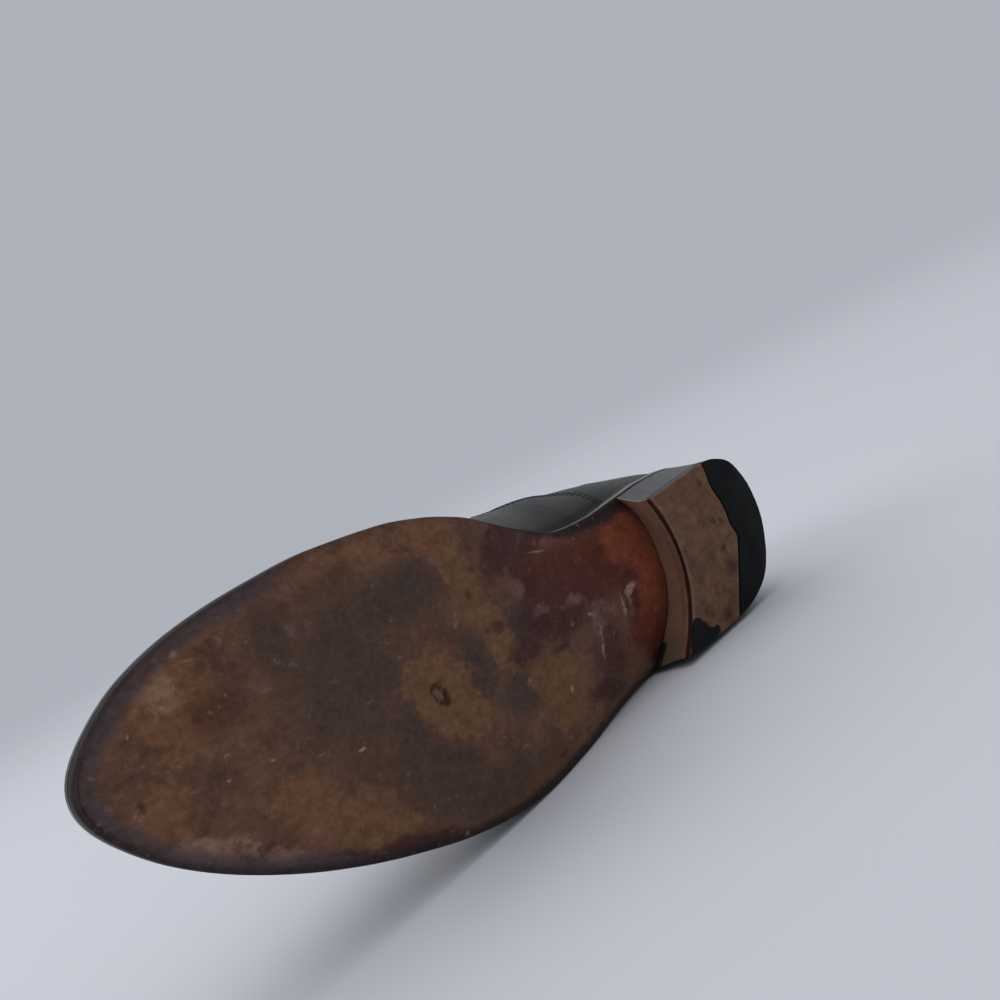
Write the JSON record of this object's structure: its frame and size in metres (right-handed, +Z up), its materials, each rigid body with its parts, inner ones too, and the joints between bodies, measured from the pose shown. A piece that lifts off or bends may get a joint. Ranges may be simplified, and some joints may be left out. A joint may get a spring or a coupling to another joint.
{
  "type": "oxford shoe",
  "caption": "Right-foot leather oxford shoe lying on its outer side: hollow black upper with closed lacing, welt, worn leather sole and low stacked heel with a rubber tip",
  "frame": {"origin": "Middle of the shoe's bounding box in plan, at floor level, with the shoe lying on its outer side", "axes": "+Z up from the floor, the toe points to -X, the sole faces -Y and the collar opens to +Y"},
  "size_m": [0.2996, 0.11, 0.1137],
  "materials": {
    "outsole": "worn sole leather, stained and scuffed, half matt",
    "welt": "black dyed edge, waxed",
    "insole": "plain pale leather sock, matt",
    "heel_stack": "black waxed sides, brown breast",
    "heel_top_piece": "worn tan leather, matt",
    "heel_rubber_tip": "black rubber, matt",
    "upper": "black calf, satin, pale lining inside",
    "back_strip": "black calf, satin",
    "tongue": "black calf, satin",
    "laces": "black waxed cotton"
  },
  "bodies": {
    "root": {"outsole": "outsole", "welt": "welt", "insole": "insole", "heel_stack": "heel_stack", "heel_top_piece": "heel_top_piece", "heel_rubber_tip": "heel_rubber_tip", "upper": "upper", "back_strip": "back_strip", "tongue": "tongue", "laces": "laces"}
  },
  "joints": []
}
